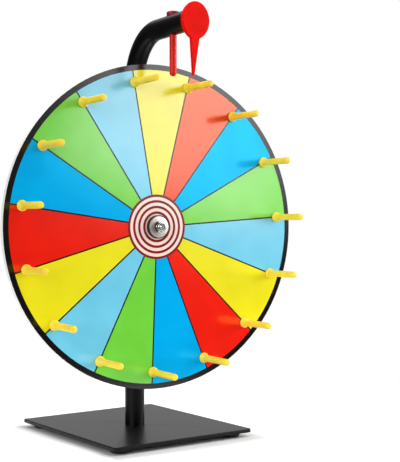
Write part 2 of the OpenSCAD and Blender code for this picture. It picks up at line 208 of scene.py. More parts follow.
def nutWithPaintedShadeOnFlats(name, light, dark, roughness):
    # A zinc plated nut: bright on its ends, with painted shade that darkens its flats
    material, tree, shader, where = startTumbled(name, light, roughness)
    facing = addNode(tree, "ShaderNodeSeparateXYZ", {"Vector": where.node.outputs["Normal"]})
    litEndsShadedFlats = addNode(tree, "ShaderNodeMath", {0: facing.outputs["Y"]}, operation="ABSOLUTE")
    # Painted shade: faces that turn away from the axle take the dark colour
    addShades(tree, shader, litEndsShadedFlats.outputs["Value"], light, dark)
    return material


def groundSteel(name):
    # Ground and hardened bearing steel: bright, with rings from the grinding wheel, drawn at 0.5 mm to show
    material, tree, shader = startMaterial(name, "#C4C7CB", roughness=0.16, metallic=1.0)
    coords = addNode(tree, "ShaderNodeTexCoord")
    centred = addNode(tree, "ShaderNodeMapping",
                      {"Vector": coords.outputs["Object"], "Location": (0, 0, -wheelCentre.z * mm)})
    rings = addNode(tree, "ShaderNodeTexWave",
                    {"Vector": centred.outputs["Vector"], "Scale": perMm(0.5) / math.tau, "Distortion": 0.4},
                    wave_type="RINGS", rings_direction="Y")
    spread = addNode(tree, "ShaderNodeMapRange",
                     {"Value": rings.outputs["Fac"], "To Min": 0.12, "To Max": 0.26})
    tree.links.new(spread.outputs["Result"], shader.inputs["Roughness"])
    return material


def foamedPvc(name):
    # Foamed PVC board: chalky white with fine closed pores, drawn at 1 mm
    material, tree, shader = startMaterial(name, "#F1F1EE", roughness=0.6, Subsurface_Weight=0.1,
                                           Subsurface_Scale=1.0 * mm)
    where = addGrain(tree, shader, size=1.0, depth=0.02, roughness=(0.52, 0.7))
    addTint(tree, shader, where, 45, "#F4F4F1", "#E9E9E4")
    return material


def mouldedRubber(name):
    # Black moulded rubber: matt, slightly dusty on the outside
    material, tree, shader = startMaterial(name, "#0E0E0E", roughness=0.75)
    where = addGrain(tree, shader, size=1.0, depth=0.03, roughness=(0.68, 0.85))
    addTint(tree, shader, where, 6, "#171717", "#0A0A0A")
    return material


finishes = {
    "basePowder": powderCoat("powderCoatBase", "#0C0C0E", "#09090B", 0.34, 0.16),
    "tubePowder": powderCoat("powderCoatTube", "#08080A", "#050507", 0.34, 0.14),
    "blackOxide": powderCoat("blackOxideSteel", "#1C1C1E", "#131315", 0.45, 0.5),
    "zinc": tumbledMetal("zincPlatedSteel", "#C9CBCE", "#B4B7BB", 0.26),
    "dullZinc": tumbledMetal("dullZincPlatedSteel", "#A0A2A6", "#909296", 0.2),
    "nut": nutWithPaintedShadeOnFlats("wornZincPlatedSteel", "#DCDEE2", "#2A2B2D", 0.2),
    "washer": tumbledMetal("nickelPlatedSteel", "#DAD2CC", "#CDC5BF", 0.46),
    "steel": groundSteel("groundBearingSteel"),
    "cage": tumbledMetal("pressedBrass", "#C9A25A", "#B48D45", 0.3),
    "hub": powderCoat("powderCoatHub", "#151516", "#0E0E0F", 0.42, 0.4),
    "board": foamedPvc("foamedPvcBoard"),
    "rubber": mouldedRubber("blackRubber"),
    "peg": mouldedAbs("yellowAbs", "#F5D93F", "#EECD35", 0.36, 0.35),
    "pointer": mouldedAbs("redAbs", "#E80C00", "#DE0800", 0.42, 0.06),
    "rod": softVinyl("redSoftPvc", "#D82408", "#CA1804"),
    "cap": softVinyl("darkRedSoftPvc", "#A01838", "#86122C"),
    "yellow": dryWipeFilm("filmYellow", "#E8DE14", "#E2D70E"),
    "red": dryWipeFilm("filmRed", "#E81200", "#E00E00", "#FFFFD8"),
    "blue": dryWipeFilm("filmBlue", "#00A8E8", "#00A1E2", "#60FFFF"),
    "green": dryWipeFilm("filmGreen", "#70CE3C", "#69C735"),
    "sky": dryWipeFilm("filmSky", "#70C8E4", "#68C2E0"),
    "black": dryWipeFilm("filmBlack", "#070708", "#040405", "#C8C8C8"),
    "white": dryWipeFilm("filmWhite", "#FFDAD0", "#FAD3C8"),
    "darkRed": dryWipeFilm("filmDarkRed", "#7E1E1E", "#741918", "#B0B0B0"),
}
print("materials made:", len(finishes))


def quarterTurn(steps):
    # Angles from 0 to 90 degrees
    return [math.radians(90) * step / steps for step in range(steps + 1)]


def roundedPath(corners, steps=5):
    # Corners are (x, y, radius): the sharp ones stay and the others become arcs
    path = []
    count = len(corners)
    for i, (x, y, radius) in enumerate(corners):
        here = Vector((x, y))
        if radius <= 0:
            path.append((x, y))
            continue
        before = (Vector(corners[i - 1][:2]) - here).normalized()
        after = (Vector(corners[(i + 1) % count][:2]) - here).normalized()
        half = before.angle(after) / 2
        centre = here + (before + after).normalized() * (radius / math.sin(half))
        first = here + before * (radius / math.tan(half)) - centre
        last = here + after * (radius / math.tan(half)) - centre
        turn = math.remainder(math.atan2(last.y, last.x) - math.atan2(first.y, first.x), math.tau)
        for step in range(steps + 1):
            angle = math.atan2(first.y, first.x) + turn * step / steps
            path.append((centre.x + radius * math.cos(angle), centre.y + radius * math.sin(angle)))
    return path


def skin(mesh, rings):
    # Faces between rings that have the same number of corners
    for low, high in zip(rings, rings[1:]):
        for i in range(len(low)):
            j = (i + 1) % len(low)
            mesh.faces.new((low[i], low[j], high[j], high[i]))


def lathe(path, segments, closed=False, shape=None):
    # Turns a path of (radius, height) about Z; shape may change the radius by angle and height
    mesh = bmesh.new()
    rings = []
    for radius, height in path:
        spots = 1 if radius < 1e-6 else segments  # on the axis the ring is one corner
        ring = []
        for i in range(spots):
            angle = math.tau * i / segments
            reach = shape(radius, angle, height) if shape else radius
            ring.append(mesh.verts.new((reach * math.cos(angle), reach * math.sin(angle), height)))
        rings.append(ring)
    for low, high in zip(rings, rings[1:] + (rings[:1] if closed else [])):
        for i in range(segments):
            j = (i + 1) % segments
            corners = [low[i % len(low)], low[j % len(low)], high[j % len(high)], high[i % len(high)]]
            if len(set(corners)) > 2:
                mesh.faces.new(list(dict.fromkeys(corners)))
    bmesh.ops.recalc_face_normals(mesh, faces=mesh.faces)
    return mesh


def joinMesh(mesh, other):
    # Adds another mesh to this one
    data = bpy.data.meshes.new("joined")
    other.to_mesh(data)
    other.free()
    mesh.from_mesh(data)
    bpy.data.meshes.remove(data)


def toObject(name, mesh, place=Matrix()):
    # A millimetre mesh becomes an object at the origin, in metres, with its place in its mesh
    mesh.transform(Matrix.Scale(mm, 4) @ place)
    bmesh.ops.recalc_face_normals(mesh, faces=mesh.faces)
    data = bpy.data.meshes.new(name)
    mesh.to_mesh(data)
    mesh.free()
    piece = bpy.data.objects.new(name, data)
    scene.collection.objects.link(piece)
    return smooth(piece)


def smooth(piece):
    piece.data.polygons.foreach_set("use_smooth", [True] * len(piece.data.polygons))
    piece.data.set_sharp_from_angle(angle=math.radians(sharpAngle))
    return piece


def baked(carrier, name):
    # The evaluated mesh of an object with modifiers, as a plain object; the carrier goes
    graph = bpy.context.evaluated_depsgraph_get()
    data = bpy.data.meshes.new_from_object(carrier.evaluated_get(graph), depsgraph=graph)
    data.name = name
    bpy.data.objects.remove(carrier)
    piece = bpy.data.objects.new(name, data)
    scene.collection.objects.link(piece)
    return piece


def cutAway(piece, cutter):
    name = piece.name
    piece.name = name + "Uncut"
    modifier = piece.modifiers.new("cut", "BOOLEAN")
    modifier.object = cutter
    modifier.solver = "EXACT"
    done = baked(piece, name)
    bpy.data.objects.remove(cutter)
    return smooth(done)


def paint(piece, finish):
    piece.data.materials.clear()
    piece.data.materials.append(finishes[finish])


def dress(piece, finish, body, slot, *stoodFor):
    # Finish, body, record slot (not used) and the solids that the piece stands for
    paint(piece, finish)
    if body:
        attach(piece, body)
    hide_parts(*stoodFor)
    print("piece:", piece.name, len(piece.data.polygons), "faces")


# Geometry Nodes trees: their lengths are in metres
def startTree(name, sockets):
    tree = bpy.data.node_groups.new(name, "GeometryNodeTree")
    for socket, kind in sockets.items():
        tree.interface.new_socket(socket, in_out="INPUT", socket_type="NodeSocket" + kind)
    tree.interface.new_socket("Geometry", in_out="OUTPUT", socket_type="NodeSocketGeometry")
    return tree, addNode(tree, "NodeGroupInput").outputs


def endTree(tree, geometry, finish):
    # Every tree ends in real geometry with its material on
    real = addNode(tree, "GeometryNodeRealizeInstances", {"Geometry": geometry})
    dressed = addNode(tree, "GeometryNodeSetMaterial", {"Geometry": real.outputs[0], "Material": finish})
    addNode(tree, "NodeGroupOutput", {"Geometry": dressed.outputs[0]})


def grow(name, tree, values):
    # Runs a tree with its inputs set by identifier, and keeps the plain mesh
    carrier = bpy.data.objects.new(name + "Carrier", bpy.data.meshes.new(name + "Seed"))
    scene.collection.objects.link(carrier)
    modifier = carrier.modifiers.new("tree", "NODES")
    modifier.node_group = tree
    for item in tree.interface.items_tree:
        if item.in_out == "INPUT":
            modifier[item.identifier] = values[item.name]
    return baked(carrier, name)


def ringTree():
    # Copies of one piece on a circle about the axle, each turned by chance about its own axis
    tree, given = startTree("piecesOnCircle", {
        "Piece": "Object", "Count": "Int", "Radius": "Float", "First Angle": "Float",
        "Seed": "Int", "Place": "Vector", "Finish": "Material"})
    circle = addNode(tree, "GeometryNodeMeshCircle", {"Vertices": given["Count"], "Radius": given["Radius"]})
    piece = addNode(tree, "GeometryNodeObjectInfo", {"Object": given["Piece"]}, transform_space="ORIGINAL")
    chance = addNode(tree, "FunctionNodeRandomValue", {"Seed": given["Seed"], "Max": math.tau},
                     data_type="FLOAT")
    turn = addNode(tree, "ShaderNodeCombineXYZ", {"Z": chance.outputs["Value"]})
    copies = addNode(tree, "GeometryNodeInstanceOnPoints", {
        "Points": circle.outputs["Mesh"], "Instance": piece.outputs["Geometry"],
        "Rotation": turn.outputs["Vector"]})
    start = addNode(tree, "ShaderNodeCombineXYZ", {"Z": given["First Angle"]})
    turned = addNode(tree, "GeometryNodeTransform",
                     {"Geometry": copies.outputs["Instances"], "Rotation": start.outputs["Vector"]})
    stood = addNode(tree, "GeometryNodeTransform", {
        "Geometry": turned.outputs["Geometry"], "Translation": given["Place"],
        "Rotation": (math.radians(90), 0, 0)})
    endTree(tree, stood.outputs["Geometry"], given["Finish"])
    return tree


def cornerTree():
    # Copies of one piece at the four corners of a turned rectangle on the floor
    tree, given = startTree("piecesAtCorners", {
        "Piece": "Object", "Width": "Float", "Depth": "Float", "Turn": "Float",
        "Place": "Vector", "Finish": "Material"})
    corners = addNode(tree, "GeometryNodeMeshGrid", {
        "Size X": given["Width"], "Size Y": given["Depth"], "Vertices X": 2, "Vertices Y": 2})
    piece = addNode(tree, "GeometryNodeObjectInfo", {"Object": given["Piece"]}, transform_space="ORIGINAL")
    copies = addNode(tree, "GeometryNodeInstanceOnPoints",
                     {"Points": corners.outputs["Mesh"], "Instance": piece.outputs["Geometry"]})
    turn = addNode(tree, "ShaderNodeCombineXYZ", {"Z": given["Turn"]})
    placed = addNode(tree, "GeometryNodeTransform", {
        "Geometry": copies.outputs["Instances"], "Translation": given["Place"],
        "Rotation": turn.outputs["Vector"]})
    endTree(tree, placed.outputs["Geometry"], given["Finish"])
    return tree


def tubeTree():
    # A tube swept along post, bend and arm, with its bore and its two cross holes cut out
    tree, given = startTree("bentTube", {
        "Foot": "Vector", "Elbow": "Vector", "End": "Vector", "Bore Foot": "Vector", "Bore End": "Vector",
        "Bend Radius": "Float", "Bend Steps": "Int", "Outer Radius": "Float", "Bore Radius": "Float",
        "Round Steps": "Int", "Axle Hole Radius": "Float", "Axle Hole": "Vector",
        "Clicker Hole Radius": "Float", "Clicker Hole": "Vector", "Drill Reach": "Float",
        "Drill Steps": "Int", "Finish": "Material"})
    solids = []
    for foot, end, radius in (("Foot", "End", "Outer Radius"), ("Bore Foot", "Bore End", "Bore Radius")):
        index = addNode(tree, "GeometryNodeInputIndex")
        spot = addNode(tree, "GeometryNodeIndexSwitch", data_type="VECTOR")
        spot.index_switch_items.new()
        for number, source in enumerate((foot, "Elbow", end)):
            tree.links.new(given[source], spot.inputs[number + 1])
        tree.links.new(index.outputs["Index"], spot.inputs[0])
        points = addNode(tree, "GeometryNodePoints", {"Count": 3, "Position": spot.outputs[0]})
        line = addNode(tree, "GeometryNodePointsToCurves", {"Points": points.outputs[0]})
        bent = addNode(tree, "GeometryNodeFilletCurve", {
            "Curve": line.outputs[0], "Radius": given["Bend Radius"], "Count": given["Bend Steps"]},
            mode="POLY")
        section = addNode(tree, "GeometryNodeCurvePrimitiveCircle",
                          {"Resolution": given["Round Steps"], "Radius": given[radius]})
        swept = addNode(tree, "GeometryNodeCurveToMesh", {
            "Curve": bent.outputs[0], "Profile Curve": section.outputs[0], "Fill Caps": True})
        solids.append(swept.outputs["Mesh"])
    for radius, place, turn in (("Axle Hole Radius", "Axle Hole", math.radians(90)),
                                ("Clicker Hole Radius", "Clicker Hole", 0.0)):
        drill = addNode(tree, "GeometryNodeMeshCylinder", {
            "Vertices": given["Drill Steps"], "Radius": given[radius], "Depth": given["Drill Reach"]})
        placed = addNode(tree, "GeometryNodeTransform", {
            "Geometry": drill.outputs["Mesh"], "Translation": given[place], "Rotation": (turn, 0, 0)})
        solids.append(placed.outputs["Geometry"])
    cut = addNode(tree, "GeometryNodeMeshBoolean", {"Mesh 1": solids[0]},
                  operation="DIFFERENCE", solver="EXACT")
    for cutter in solids[1:]:
        tree.links.new(cutter, cut.inputs["Mesh 2"])
    endTree(tree, cut.outputs["Mesh"], given["Finish"])
    return tree


treeOnCircle = ringTree()
treeAtCorners = cornerTree()
treeTube = tubeTree()
print("node trees made")


def ringOf(name, shape, finish, count, radius, firstAngle, seed, behind=0):
    # Copies of a shape on a circle about the axle, this far behind the printed face; the shape goes
    piece = grow(name, treeOnCircle, {
        "Piece": shape, "Count": count, "Radius": radius * mm, "First Angle": math.radians(firstAngle),
        "Seed": seed, "Place": [wheelCentre.x * mm, (wheelCentre.y + behind) * mm, wheelCentre.z * mm],
        "Finish": finishes[finish]})
    bpy.data.objects.remove(shape)
    return smooth(piece)


# Base plate: cut from sheet steel, edges eased before coating
base = {"width": 153, "depth": 175, "turn": 5, "corner": 3, "cornerSteps": 6, "edge": 0.7, "edgeSteps": 4,
        "flatFrom": 1.7, "boltHole": 8.4, "holeSegments": 48}


def plateOutline(inset):
    width, depth, corner = base["width"] / 2 - inset, base["depth"] / 2 - inset, base["corner"] - inset
    square = [(-width, -depth), (width, -depth), (width, depth), (-width, depth)]
    return roundedPath([(x, y, corner) for x, y in square], base["cornerSteps"])


def makeBasePlate():
    low, high = boxMm("base_plate")
    edge, flat, easing = base["edge"], base["flatFrom"], quarterTurn(base["edgeSteps"])
    levels = [(flat, low.z)]  # the first and last keep the big faces flat in shading
    levels += [(edge * (1 - math.sin(a)), low.z + edge * (1 - math.cos(a))) for a in easing]
    levels += [(edge * (1 - math.cos(a)), high.z - edge * (1 - math.sin(a))) for a in easing]
    levels += [(flat, high.z)]
    mesh = bmesh.new()
    rings = [[mesh.verts.new((x, y, z)) for x, y in plateOutline(inset)] for inset, z in levels]
    skin(mesh, rings)
    radius, count = base["boltHole"] / 2, base["holeSegments"]
    angles = [math.tau * i / count for i in range(count)]
    hole = [[mesh.verts.new((radius * math.cos(a), radius * math.sin(a), z)) for a in angles]
            for z in (low.z, high.z)]
    skin(mesh, hole)
    for outline, ring in ((rings[0], hole[0]), (rings[-1], hole[1])):
        loops = []
        for loop in (outline, ring):
            loops += [mesh.edges.get((loop[i], loop[(i + 1) % len(loop)])) for i in range(len(loop))]
        bmesh.ops.bridge_loops(mesh, edges=loops)
    plateX, plateY, _ = middleMm("base_plate")
    place = Matrix.Translation((plateX, plateY, 0)) @ Matrix.Rotation(math.radians(base["turn"]), 4, "Z")
    dress(toObject("basePlate", mesh, place), "basePowder", "stand", "base_black", "base_plate")


# Rubber feet: one turned foot at each corner of the plate
foot = {"floorWidth": 17, "topWidth": 20, "inset": 15, "edge": 1.4, "segments": 48}


def makeFeet():
    low, high = boxMm("front_left_foot")
    plateX, plateY, _ = middleMm("base_plate")
    height = high.z - low.z
    path = roundedPath([
        (0, 0, 0), (foot["floorWidth"] / 2, 0, foot["edge"]), (foot["topWidth"] / 2, height, 0),
        (0, height, 0)])
    shape = toObject("footShape", lathe(path, foot["segments"]))
    piece = grow("rubberFeet", treeAtCorners, {
        "Piece": shape, "Width": (base["width"] - 2 * foot["inset"]) * mm,
        "Depth": (base["depth"] - 2 * foot["inset"]) * mm, "Turn": math.radians(base["turn"]),
        "Place": [plateX * mm, plateY * mm, low.z * mm], "Finish": finishes["rubber"]})
    bpy.data.objects.remove(shape)
    feet = ("front_left_foot", "front_right_foot", "rear_left_foot", "rear_right_foot")
    dress(smooth(piece), "rubber", "stand", "rubber_feet", *feet)


# Stand tube: one length of steel tube, bent at the top
tube = {"width": 19, "wall": 1.5, "roundSteps": 72, "bendRadius": 47, "bendSteps": 40, "past": 1,
        "axleHole": 6.4, "clickerHole": 7.6, "drillReach": 24, "drillSteps": 48}
tubeLow, tubeHigh = boxMm("stand_tube")
tubeX = (tubeLow.x + tubeHigh.x) / 2
armZ = tubeHigh.z - tube["width"] / 2  # middle of the arm


def makeTube():
    postY, clickerY = tubeHigh.y - tube["width"] / 2, middleMm("clicker_rod")[1]
    spots = {
        "Foot": (tubeX, postY, tubeLow.z), "Elbow": (tubeX, postY, armZ), "End": (tubeX, tubeLow.y, armZ),
        "Bore Foot": (tubeX, postY, tubeLow.z - tube["past"]),
        "Bore End": (tubeX, tubeLow.y - tube["past"], armZ),
        "Axle Hole": (tubeX, postY, wheelCentre.z), "Clicker Hole": (tubeX, clickerY, armZ)}
    lengths = {
        "Bend Radius": tube["bendRadius"], "Outer Radius": tube["width"] / 2,
        "Bore Radius": tube["width"] / 2 - tube["wall"], "Axle Hole Radius": tube["axleHole"] / 2,
        "Clicker Hole Radius": tube["clickerHole"] / 2, "Drill Reach": tube["drillReach"]}
    values = {name: [part * mm for part in spot] for name, spot in spots.items()}
    values.update({name: length * mm for name, length in lengths.items()})
    values.update({
        "Bend Steps": tube["bendSteps"], "Round Steps": tube["roundSteps"],
        "Drill Steps": tube["drillSteps"], "Finish": finishes["tubePowder"]})
    piece = smooth(grow("standTube", treeTube, values))
    dress(piece, "tubePowder", "stand", "tube_black", "stand_tube")


# Pointer: a moulded oval with a needle, rounded at its edge and plugged into the arm
drop = {"headWidth": 28, "headHeight": 33.5, "endRadius": 11.8, "below": 2, "turn": 2.4, "needleWidth": 12.5,
        "tipWidth": 1.6, "neck": 2, "edge": 1.5, "backEdge": 0.5, "mostInset": 0.8, "spigotWidth": 15.9,
        "arcSteps": 28, "neckSteps": 10, "needleSteps": 16, "tipSteps": 8, "edgeSteps": 6, "segments": 48}


def arc(centre, radius, first, last, steps):
    # Points on an arc, each with the direction away from its centre
    spots = []
    for i in range(steps + 1):
        angle = first + (last - first) * i / steps
        away = Vector((math.cos(angle), math.sin(angle)))
        spots.append((centre + away * radius, away))
    return spots


def dropSide(tipY):
    # Right-hand outline from the top of the head to the tip, as points with their inward directions
    wide, high, radius, steps = drop["headWidth"], drop["headHeight"], drop["endRadius"], drop["arcSteps"]
    top, tip, neck = drop["needleWidth"] / 2, drop["tipWidth"] / 2, drop["neck"]
    upper = Vector((0, high / 2 - radius))
    sideRadius = ((wide * wide + high * high) / 4 - radius * high) / (wide - 2 * radius)
    middle = Vector((wide / 2 - sideRadius, 0))
    join = math.atan2(upper.y, -middle.x)
    run = Vector((tip - top, tipY)).normalized()
    outward = Vector((-run.y, run.x))
    start = Vector((top, 0)) + outward * neck + upper
    along = -start.dot(run) + math.sqrt(start.dot(run) ** 2 - start.length_squared + (radius + neck) ** 2)
    hollow = start + run * along  # middle of the fillet under the head, seen from the lower arc's middle
    headEnd = math.atan2(hollow.y, hollow.x)
    side = arc(upper, radius, math.radians(90), join, steps)
    side += arc(middle, sideRadius, join, -join, steps)[1:]
    side += arc(-upper, radius, -join, headEnd, steps)[1:]
    side = [(spot, -away) for spot, away in side]
    first = math.atan2(-hollow.y, -hollow.x)
    turn = math.remainder(math.atan2(-outward.y, -outward.x) - first, math.tau)
    side += arc(hollow - upper, neck, first, first + turn, drop["neckSteps"])[1:]
    needleStart, needleEnd = side[-1][0], Vector((0, tipY)) + outward * tip
    shares = [(i + 1) / drop["needleSteps"] for i in range(drop["needleSteps"])]
    side += [(needleStart.lerp(needleEnd, share), -outward) for share in shares]
    tipStart = math.atan2(outward.y, outward.x)
    tipArc = arc(Vector((0, tipY)), tip, tipStart, -math.radians(90), drop["tipSteps"])
    side += [(spot, -away) for spot, away in tipArc[1:]]
    return side


def makePointer():
    low, high = boxMm("pointer")
    turn, thick, tip = math.radians(drop["turn"]), tubeLow.y - low.y, drop["tipWidth"] / 2
    side = dropSide(drop["below"] - (armZ - low.z - tip) / math.cos(turn))
    quarter = quarterTurn(drop["edgeSteps"])
    mesh = bmesh.new()
    rings = []
    for radius, front in ((drop["backEdge"], False), (drop["edge"], True)):
        for angle in (quarter if front else quarter[::-1]):
            inset = min(radius * (1 - math.cos(angle)), drop["mostInset"] * tip)  # the tip keeps some width
            fall = radius * (1 - math.sin(angle))
            depth = fall - thick if front else -fall
            ring = [spot + inward * inset for spot, inward in side]
            ring += [Vector((-spot.x, spot.y)) for spot in reversed(ring[1:-1])]
            rings.append([mesh.verts.new((spot.x, depth, spot.y - drop["below"])) for spot in ring])
    skin(mesh, rings)
    for ring in (rings[0], rings[-1]):
        for i in range(len(side) - 1):
            corners = [ring[i], ring[i + 1], ring[-i - 1], ring[-i]]
            mesh.faces.new(list(dict.fromkeys(corners)))
    mesh.transform(Matrix.Rotation(turn, 4, "Y"))
    radius, reach = drop["spigotWidth"] / 2, high.y - tubeLow.y
    spigot = lathe([(0, 0), (radius, 0), (radius, reach), (0, reach)], drop["segments"])
    spigot.transform(Matrix.Rotation(math.radians(-90), 4, "X"))
    joinMesh(mesh, spigot)
    piece = toObject("pointer", mesh, Matrix.Translation((tubeX, tubeLow.y, armZ)))
    dress(piece, "pointer", "stand", "pointer_red", "pointer")


# Clicker: a soft rod through the arm, with a cap on top that stops it from falling through
clicker = {"capWidth": 12, "capEdge": 1.6, "capDome": 0.4, "crownShare": 0.45, "crownEdge": 3,
           "capSegments": 64, "seatGap": 0.05, "seatReach": 20, "seatSegments": 144,
           "rootIn": 1.3, "bendOver": 24, "rodStep": 1.0, "tipSteps": 10, "rodSegments": 40}


def makeCap():
    low, high = boxMm("clicker_cap")
    radius, top = clicker["capWidth"] / 2, high.z - armZ
    skirt = tube["width"] / 4  # starts inside the arm, where the seat is cut away
    path = roundedPath([
        (0, skirt, 0), (radius, skirt, 0), (radius, top - clicker["capDome"], clicker["capEdge"]),
        (radius * clicker["crownShare"], top, clicker["crownEdge"]), (0, top, 0)])
    place = Matrix.Translation(((low.x + high.x) / 2, (low.y + high.y) / 2, armZ))
    piece = toObject("clickerCap", lathe(path, clicker["capSegments"]), place)
    wide, reach = tube["width"] / 2 + clicker["seatGap"], clicker["seatReach"]
    seat = lathe([(0, -reach), (wide, -reach), (wide, reach), (0, reach)], clicker["seatSegments"])
    piece = cutAway(piece, toObject("capSeat", seat, place @ toFront))
    dress(piece, "cap", "stand", "clicker_dark_red", "clicker_cap")


def makeRod():
    low, high = boxMm("clicker_rod")
    radius = (high.x - low.x) / 2
    pivotZ = high.z - radius
    middle = Vector(((low.x + high.x) / 2, (low.y + high.y) / 2, 0))
    rootZ = pivotZ + clicker["rootIn"]
    run = rootZ - low.z - radius
    steps = round(run / clicker["rodStep"])
    path = [(radius * math.sin(a), low.z + radius * (1 - math.cos(a)))
            for a in quarterTurn(clicker["tipSteps"])[:-1]]
    path += [(radius, low.z + radius + run * i / steps) for i in range(steps + 1)]
    path.append((0, rootZ))
    piece = toObject("clickerRod", lathe(path, clicker["rodSegments"]), Matrix.Translation(middle))
    dress(piece, "rod", None, "clicker_red", "clicker_rod")
    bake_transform(piece)


# Wheel board and the hub behind it
board = {"edge": 0.6, "frontEdge": 0.2, "flatTo": 2, "bore": 11.3, "segments": 240}
hub = {"bore": 16, "seat": 19, "seatDepth": 6, "seatEdge": 0.4, "bossWidth": 27, "flangeThick": 2.5,
       "edge": 0.8, "foot": 1.5, "segments": 96}


def makeBoard():
    front, back = behindFace("wheel_board")
    flat, bore = wheelRadius - board["flatTo"], board["bore"] / 2
    path = roundedPath([
        (bore, -back, 0), (flat, -back, 0), (wheelRadius, -back, board["edge"]),
        (wheelRadius, -front, board["frontEdge"]), (flat, -front, 0), (bore, -front, 0)])
    piece = toObject("wheelBoard", lathe(path, board["segments"], closed=True), onAxle)
    dress(piece, "board", "wheel", "board_white", "wheel_board")


def makeHub():
    low, high = boxMm("hub_flange")
    front, back = behindFace("hub_flange")
    flange, boss, flangeBack = (high.x - low.x) / 2, hub["bossWidth"] / 2, -front - hub["flangeThick"]
    seat, bore, edge = hub["seat"] / 2, hub["bore"] / 2, hub["edge"]
    frontSeat, rearSeat = -front - hub["seatDepth"], -back + hub["seatDepth"]
    path = roundedPath([
        (seat, -front, 0), (flange, -front, 0), (flange, flangeBack, edge), (boss, flangeBack, hub["foot"]),
        (boss, -back, edge), (seat, -back, hub["seatEdge"]), (seat, rearSeat, 0), (bore, rearSeat, 0),
        (bore, frontSeat, 0), (seat, frontSeat, 0)])
    piece = toObject("hubFlange", lathe(path, hub["segments"], closed=True), onAxle)
    dress(piece, "hub", "wheel", "hub_black", "hub_flange")


# Pegs: moulded pins with a round collar, one on each line
pegs = {"count": 15, "firstLine": 100, "inset": 16, "shaft": 6.2, "collarThick": 3, "rimFrom": -75,
        "rimTo": 60, "rimStep": 15, "neck": 2.5, "neckBlend": 1.2, "tipEdge": 1.4, "spigot": 5,
        "segments": 48, "seed": 3}


def makePegs():
    low, high = boxMm("peg_01")
    collar, tall, depth = (high.x - low.x) / 2, wheelCentre.y - low.y, high.y - wheelCentre.y
    rim, shaft, spigot = pegs["collarThick"] / 2, pegs["shaft"] / 2, pegs["spigot"] / 2
    path = [(0, -depth), (spigot, -depth), (spigot, 0), (collar - rim, 0)]
    for turn in range(pegs["rimFrom"], pegs["rimTo"] + 1, pegs["rimStep"]):
        angle = math.radians(turn)
        path.append((collar - rim + rim * math.cos(angle), rim + rim * math.sin(angle)))
    path += roundedPath([
        path[-1] + (0,), (shaft, pegs["collarThick"] + pegs["neck"], pegs["neckBlend"]),
        (shaft, tall, pegs["tipEdge"]), (0, tall, 0)])[1:]
    shape = toObject("pegShape", lathe(path, pegs["segments"]))
    piece = ringOf("pegs", shape, "peg", pegs["count"], wheelRadius - pegs["inset"], pegs["firstLine"],
                   pegs["seed"])
    names = [f"peg_{i + 1:02d}" for i in range(pegs["count"])]
    dress(piece, "peg", "wheel", "peg_yellow", *names)


# Screws: pan heads with a cross recess, sized as shares of the shank's width
screws = {"headWidth": 2.0, "headHigh": 0.6, "headEdge": 0.42, "crown": 0.86, "slotWide": 0.3,
          "slotLong": 1.2, "slotDeep": 0.36, "segments": 40}
screwRings = {  # behind the pegs and round the hub
    "pegScrews": {"node": "peg_screws", "width": 2.9, "count": pegs["count"],
                  "radius": wheelRadius - pegs["inset"], "firstAngle": pegs["firstLine"], "seed": 5},
    "hubScrews": {"node": "hub_screws", "width": 3.5, "count": 4,
                  "radius": 21.75, "firstAngle": 45, "seed": 8},
}


def screwShape(width, grip):
    # The shank runs up from zero and the head lies below
    radius, high = screws["headWidth"] * width / 2, screws["headHigh"] * width
    path = roundedPath([
        (0, -high, 0), (radius * screws["crown"], -high, screws["headEdge"] * width), (radius, 0, 0),
        (width / 2, 0, 0), (width / 2, grip - width / 2, 0), (0, grip, 0)])
    piece = toObject("screwShape", lathe(path, screws["segments"]))
    cross = bmesh.new()
    long, wide, deep = (screws[part] * width for part in ("slotLong", "slotWide", "slotDeep"))
    for size in ((long, wide, 2 * deep), (wide, long, 2 * deep)):
        place = Matrix.Translation((0, 0, -high)) @ Matrix.Diagonal((*size, 1))
        bmesh.ops.create_cube(cross, size=1, matrix=place)
    return cutAway(piece, toObject("screwCross", cross))


def makeScrews(name, ring):
    front, back = behindFace(ring["node"])
    seat = back - screws["headHigh"] * ring["width"]
    shape = screwShape(ring["width"], seat - front)
    piece = ringOf(name, shape, "zinc", ring["count"], ring["radius"], ring["firstAngle"], ring["seed"], seat)
    dress(piece, "zinc", "wheel", "zinc", ring["node"])


# Axle: a bolt from behind, with the thread that shows in front, a washer and a lock nut
axle = {"width": 6, "plainWidth": 5.97, "flats": 10, "bevel": 30, "bevelShare": 0.96, "bevelSteps": 6,
        "headHigh": 4, "pitch": 1.0, "threadDeep": 0.5, "threadLong": 12, "runOut": 0.2, "stepsPerTurn": 10,
        "endBevel": 0.6, "endWidth": 4.4, "clearBore": 6.1, "headSegments": 96, "shankSegments": 72}
nut = {"high": 4.6, "collarWidth": 9, "collarEdge": 0.9, "insertBore": 5.6, "insertRim": 0.4,
       "insertEdge": 0.3, "insertDeep": 0.6, "segments": 96}
washer = {"edge": 0.3, "dome": 0.6, "flat": 12, "flatEdge": 3, "segments": 96}
hexTurn = math.radians(60)  # from one flat of a hexagon to the next


def hexShape(radius, angle, height):
    # Keeps a turned shape inside a hexagon that has corners to the left and right
    return min(radius, axle["flats"] / 2 / math.cos(math.remainder(angle - hexTurn / 2, hexTurn)))


def threadShape(radius, angle, height):
    # Cuts the thread where the path is wider than the plain shank
    if radius <= axle["plainWidth"] / 2:
        return radius
    turnShare = (height / axle["pitch"] - angle / math.tau) % 1
    return radius - axle["threadDeep"] * abs(2 * turnShare - 1)


